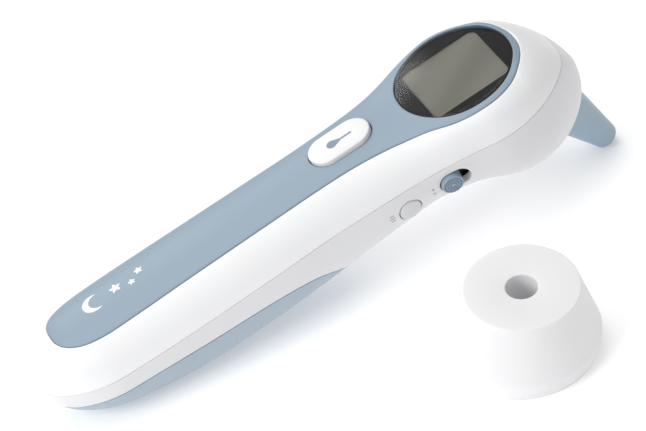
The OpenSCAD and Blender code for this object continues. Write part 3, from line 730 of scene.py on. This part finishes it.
# ---------------------------------------------------------------- probe
def ear_probe():
    """Hollow cone with a rounded tip, a window seat and a flange inside the case."""
    tip_hole, tube_r, flange_r, seat = 1.9, 2.45, 8.9, 0.45
    inner = PROBE_R - TIP_ROUND * math.cos(PROBE_HALF)
    rings = [(tip_hole, 0)]
    rings += arc(inner, TIP_ROUND, TIP_ROUND, -90, -math.degrees(PROBE_HALF), 12)
    rings += [(probe_r(PROBE_FLANGE_Z), PROBE_FLANGE_Z), (flange_r, PROBE_FLANGE_Z),
              (flange_r, PROBE_LEN), (5.2, PROBE_LEN), (tube_r, 12), (tube_r, seat), (tip_hole, seat)]
    return lathe(rings, 128)


# ---------------------------------------------------------------- forehead cap
def cap_side(z):
    """Outer radius of the cap: tucked in below its skirt level and tapering above it."""
    low = CAP_SIDE_R - CAP_TUCK * ((CAP_SKIRT - z) / CAP_SKIRT) ** 2
    high = CAP_SIDE_R - (CAP_SIDE_R - CAP_TOP_R) * (z - CAP_SKIRT) / (CAP_HEIGHT - CAP_SKIRT)
    return np.where(z < CAP_SKIRT, low, high)


def cap_rim(angle, thick):
    """Height of the rim round the cap where the surface cuts it, by repeated substitution."""
    lean = np.cos(angle) * math.tan(CAP_SLANT)
    z = np.zeros(len(angle))
    for _ in range(30):
        z = (cap_side(z) - thick) * lean
    return z


def cap_section(angle):
    """The cap's rings from the outer rim over the top and down inside to the inner rim."""
    edge, hole_edge = 0.4, 0.2
    roof = CAP_HEIGHT - CAP_WALL
    low = roof - CAP_SLEEVE
    sleeve = probe_r(CAP_SLEEVE)
    side = CAP_HEIGHT - edge
    outer, inner = cap_rim(angle, 0), cap_rim(angle, CAP_WALL)
    rings = []
    for u in np.linspace(0, 1, 12):
        z = outer + (CAP_SKIRT - outer) * u
        rings.append((cap_side(z), z))
    level = [(float(cap_side(side)), side)]
    level += arc(float(cap_side(side)) - edge, side, edge, 14, 90, 7)
    level += arc(CAP_HOLE_R + hole_edge, CAP_HEIGHT - hole_edge, hole_edge, 90, 180, 5)
    level += [(CAP_HOLE_R, roof), (sleeve + 0.12, low), (sleeve + 1.3, low), (sleeve + 0.6, roof),
              (float(cap_side(roof)) - CAP_WALL, roof)]
    rings += [(np.full(len(angle), r), np.full(len(angle), z)) for r, z in level]
    for u in np.linspace(0, 1, 10):
        z = CAP_SKIRT + (inner - CAP_SKIRT) * u
        rings.append((cap_side(z) - CAP_WALL, z))
    return rings


def forehead_cap(segments=160):
    """The leaning cap, whose rim is cut flat at the surface it stands on, in metres."""
    angle = np.linspace(0, 2 * math.pi, segments, endpoint=False)
    rings = cap_section(angle)
    x, y, z = np.vstack([np.column_stack([r * np.cos(angle), r * np.sin(angle), z])
                         for r, z in rings]).T
    s, c = math.sin(CAP_SLANT), math.cos(CAP_SLANT)
    x, z = x * c + z * s, -x * s + z * c
    s, c = math.sin(CAP_TURN), math.cos(CAP_TURN)
    points = np.column_stack([x * c - y * s, x * s + y * c, z])
    return (points + CAP_AT) / 1000, ring_faces([*range(len(rings)), 0], segments)


# ---------------------------------------------------------------- the pieces and their bodies
MEMORY_AXES, SLIDER_AXES = axes_of(MEMORY_TILT, 0), axes_of(SLIDER_TILT, SLIDER_YAW)
ON_WINDOW, ON_BUTTON = [WINDOW_X, 0, 0], [BUTTON_X, 0, 0]
PIECES = [
    ("front_case", placed(front_case()), "thermometer", WHITE, "white_shell", "front_shell"),
    ("rear_case", placed(rear_case()), "thermometer", SHADED_REAR_WHITE, "white_shell", "rear_shell"),
    ("battery_door", placed(battery_door()), "cover", COVER, "blue_plastic", "battery_cover"),
    ("face_panel", placed(face_panel()), "thermometer", BLUE, "blue_plastic", "faceplate"),
    ("window_lens", placed(window_lens(), ON_WINDOW), "thermometer", WINDOW, "window",
     "display_window"),
    ("start_button", placed(start_button(), ON_BUTTON), "measure_key", KEY, "white_key",
     "measure_button"),
    ("button_sign", placed(button_sign(), ON_BUTTON), "measure_key", SIGN, "blue_plastic",
     "button_icon"),
    ("recall_button", placed(recall_button(), MEMORY_AT, MEMORY_AXES), "memory_key", SHADED_SIDE_KEY,
     "white_key", "memory_button"),
    ("mode_knob", placed(mode_knob(), SLIDER_AT, SLIDER_AXES), "mode_slide", BLUE,
     "blue_plastic", "mode_slider"),
    ("ear_probe", placed(ear_probe(), PROBE_TIP, probe_axes()), "thermometer", PROBE,
     "blue_probe", "probe_cone"),
    ("forehead_cap", forehead_cap(), "cap", CAP_WHITE, "white_shell", "probe_cap"),
]
for name, (points, faces), rides_on, mat, slot, node in PIECES:
    piece(name, points, faces, rides_on, mat, [node])

# ---------------------------------------------------------------- printed marks
# INK_TOP and INK_LOW are levels about the skin. A mark is its place, then its size.
INK_TOP, INK_LOW = 0.035, -0.06
MOON = (20.5, 1, 3.1)
STARS = [(27, 1.2, 1.7), (31.3, -0.3, 1.1), (34.2, 2.1, 1.3)]
RECALL_MARK, MODE_MARK = (93.7, -14.96), (105.9, -14.5)


def printed(name, grids, lift, mat):
    """Thin printed shapes laid on a surface; each is a grid of (u, v) points."""
    parts = []
    for grid in grids:
        rows, cols = grid.shape[:2]
        flat, same = np.unique(grid.reshape(-1, 2).round(6), axis=0, return_inverse=True)
        same = same.reshape(-1)
        faces = []
        for i in range(rows - 1):
            for j in range(cols - 1):
                a, b = i * cols + j, i * cols + j + 1
                c, d = b + cols, a + cols
                faces += [same[[a, b, c]], same[[a, c, d]]]
        faces = [face for face in faces if len(set(face.tolist())) == 3]
        parts.append(closed(lift(flat, INK_TOP), lift(flat, INK_LOW), faces))
    points, faces = join(*parts)
    piece(name, world(points), faces, "thermometer", mat)


def star_grid(cx, cy, size):
    """A five-pointed star as rings from its middle to its outline."""
    waist, turned = 0.55, 20
    rows = []
    for share in np.linspace(0, 1, 6):
        ring = []
        for k in range(41):
            t = k / 4
            r = size * (1 - waist * (1 - abs((t % 2) - 1)))
            a = math.radians(36 * t + turned)
            ring.append([cx + share * r * math.cos(a), cy + share * r * math.sin(a)])
        rows.append(ring)
    return np.array(rows)


def moon_grid(cx, cy, size):
    """A crescent as rows from its outer arc to the bite's arc."""
    sweep, bite_sweep = 125, 98
    bite_at, bite_r = 0.42 * size, (0.84 * size, 0.83 * size)
    rows = []
    for u in np.linspace(-1, 1, 41):
        a, bite = math.radians(sweep * u), math.radians(bite_sweep * u)
        outer = np.array([cx - size * math.cos(a), cy + size * math.sin(a)])
        inner = np.array([cx + bite_at - bite_r[0] * math.cos(bite), cy + bite_r[1] * math.sin(bite)])
        rows.append([outer + (inner - outer) * v for v in np.linspace(0, 1, 6)])
    return np.array(rows)


def bar_grid(x, z, length, width):
    """A rectangle in side view."""
    u, v = np.meshgrid(np.linspace(-length / 2, length / 2, 5),
                       np.linspace(-width / 2, width / 2, 3), indexing="ij")
    return np.stack([x + u, z + v], -1)


def on_face(flat, rise):
    """Lays plan points on the upper side."""
    return np.column_stack([flat, top_z(flat[:, 0], flat[:, 1]) + rise])


def on_flank(flat, rise):
    """Lays side view points on the near flank."""
    return np.column_stack([flat[:, 0], flank_y(flat[:, 0], flat[:, 1]) - rise, flat[:, 1]])


printed("moon_and_stars", [moon_grid(*MOON)] + [star_grid(*star) for star in STARS], on_face, MARK)
x, z = RECALL_MARK
bars = [bar_grid(x, z + d, 1.5 - abs(d) * 0.4, 0.28) for d in (-0.9, 0, 0.9)]
x, z = MODE_MARK
dots = [bar_grid(x, z + d, 0.6, 0.6) for d in (-0.8, 0.8)]
printed("flank_marks", bars + dots, on_flank, GREY_MARK)

# ---------------------------------------------------------------- stage, light and camera
REACH = 3
MIDDLE = (0, 0, 0.02)
LIGHTS = [("key", (-0.85, -0.25, 0.75), MIDDLE, 0.6, 6.2),
          ("top", (-0.1, 0.3, 1.1), MIDDLE, 0.9, 5.2),
          ("fill", (0.5, -0.9, 0.5), MIDDLE, 0.8, 0.1),
          ("card", (-0.108, 1.036, 0.672), (0.044, 0.028, 0.042), 0.28, 1.35)]
WORLD_STRENGTH = 0.45
AZIMUTH, ELEVATION, ROLL = math.radians(-13.41), math.radians(38.28), math.radians(-17.67)
DISTANCE = 0.9
TARGET = Vector((-0.00009, 0.02331, 0.02333))
SENSOR, FOCAL_LENGTH = 36, 201.1


def stage():
    """The white surface, a hair under the object, that glows a little."""
    mesh = bpy.data.meshes.new("floor")
    corners = [(-REACH, -REACH, 0), (REACH, -REACH, 0), (REACH, REACH, 0), (-REACH, REACH, 0)]
    mesh.from_pydata(corners, [], [(0, 1, 2, 3)])
    mesh.materials.append(moulded("floor_white", (0.93, 0.93, 0.935), 0.7, mottle=0.003, bump=0.0,
                                  Emission_Color=(1, 1, 1, 1), Emission_Strength=0.26))
    floor = bpy.data.objects.new("floor", mesh)
    bpy.context.scene.collection.objects.link(floor)
    floor.location.z = -0.00005


def area(name, place, target, size, power):
    """A square area light at a place, facing the target."""
    light = bpy.data.lights.new(name, "AREA")
    light.size = size
    light.energy = power
    obj = bpy.data.objects.new(name, light)
    bpy.context.scene.collection.objects.link(obj)
    obj.location = place
    obj.rotation_mode = "QUATERNION"
    obj.rotation_quaternion = (Vector(target) - Vector(place)).to_track_quat("-Z", "Y")


def studio():
    """Even white surroundings."""
    world_light = bpy.data.worlds.new("studio")
    world_light.use_nodes = True
    background = world_light.node_tree.nodes["Background"]
    background.inputs["Color"].default_value = (1, 1, 1, 1)
    background.inputs["Strength"].default_value = WORLD_STRENGTH
    bpy.context.scene.world = world_light


def camera():
    """The camera round the target: azimuth, elevation, then roll about its own axis."""
    level_out = math.cos(ELEVATION)
    back = Vector((math.sin(AZIMUTH) * level_out, -math.cos(AZIMUTH) * level_out,
                   math.sin(ELEVATION)))
    level = Vector((math.cos(AZIMUTH), math.sin(AZIMUTH), 0))
    right = level * math.cos(ROLL) + back.cross(level) * math.sin(ROLL)
    up = back.cross(right)
    lens = bpy.data.cameras.new("camera")
    lens.sensor_width = SENSOR
    lens.lens = FOCAL_LENGTH
    lens.clip_end = 20
    obj = bpy.data.objects.new("camera", lens)
    bpy.context.scene.collection.objects.link(obj)
    obj.location = TARGET + back * DISTANCE
    obj.rotation_mode = "QUATERNION"
    obj.rotation_quaternion = Matrix((right, up, back)).transposed().to_quaternion()
    bpy.context.scene.camera = obj


stage()
for light in LIGHTS:
    area(*light)
studio()
bpy.context.scene.view_settings.view_transform = "Standard"
camera()
